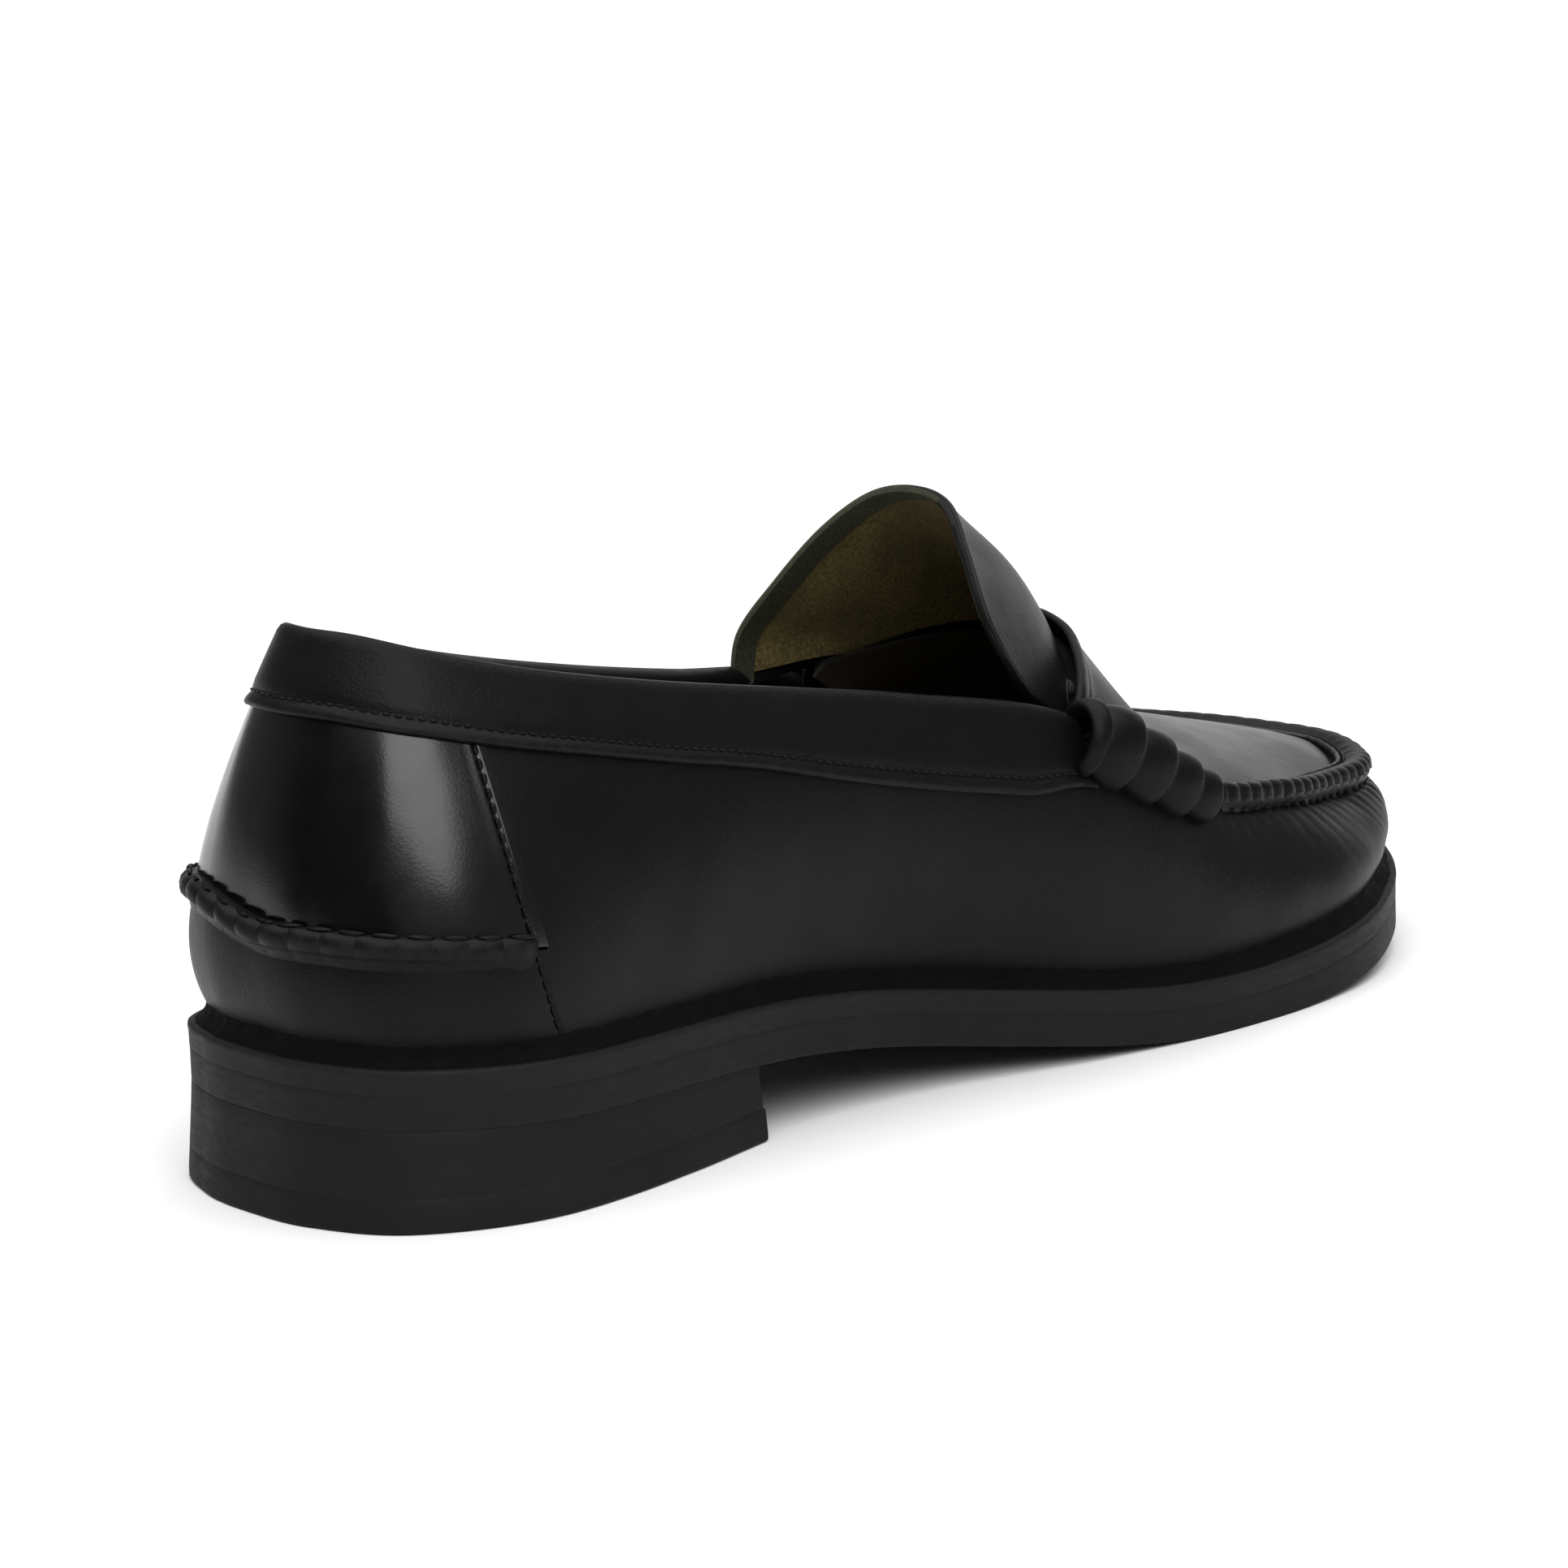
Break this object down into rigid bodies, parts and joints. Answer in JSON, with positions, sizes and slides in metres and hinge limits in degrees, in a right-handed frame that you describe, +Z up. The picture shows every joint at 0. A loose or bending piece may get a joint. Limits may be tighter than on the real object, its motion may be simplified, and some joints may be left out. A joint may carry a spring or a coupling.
{
  "type": "penny loafer",
  "caption": "Right black leather penny loafer with a lined tongue, saddle strap with beef rolls, sewn apron, folded collar and a low block heel.",
  "frame": {"origin": "centre of the shoe's bounding box, at ground level", "axes": "+X from heel to toe, +Y to the inner (medial) side of the foot, +Z up"},
  "size_m": [0.2851, 0.0998, 0.1015],
  "materials": {
    "polished_leather": "polished black leather, glossy",
    "sole_rubber": "matt black rubber",
    "midsole_rubber": "matt black rubber",
    "top_piece_rubber": "matt black rubber",
    "rand_strip": "matt black, recessed",
    "lining_leather": "olive brown napped leather",
    "waxed_thread": "black waxed thread",
    "steel": "plain steel",
    "cork": "ground cork",
    "fibre_board": "cellulose board",
    "stiffener_board": "impregnated fibre",
    "heel_foam": "soft foam"
  },
  "bodies": {
    "shoe": {"outsole": "sole_rubber", "midsole": "midsole_rubber", "rand": "rand_strip", "heel_block": "sole_rubber", "heel_top_piece": "top_piece_rubber", "heel_nails": "steel", "cork_filler": "cork", "shank": "steel", "insole_board": "fibre_board", "heel_pad": "heel_foam", "sock_lining": "lining_leather", "vamp_wall": "polished_leather", "wall_lining": "lining_leather", "apron": "polished_leather", "apron_lining": "lining_leather", "toe_puff": "stiffener_board", "heel_stiffener": "stiffener_board", "heel_counter_panel": "polished_leather", "heel_lower_panel": "polished_leather", "heel_roll_seam": "polished_leather", "collar_band": "polished_leather", "saddle_strap": "polished_leather", "beef_roll_outer": "polished_leather", "beef_roll_inner": "polished_leather", "apron_thread": "waxed_thread", "heel_roll_thread": "waxed_thread", "collar_thread": "waxed_thread", "side_seam_threads": "waxed_thread"},
    "tongue": {"tongue": "polished_leather", "tongue_lining": "lining_leather"}
  },
  "joints": [
    {"name": "tongue_lift", "type": "hinge", "parent": "shoe", "child": "tongue", "pos_m": [0.0486, 0, 0.0712], "axis": [0, 1, 0], "range_deg": [-3, 30], "stiffness_Nm_per_rad": 0.4}
  ]
}
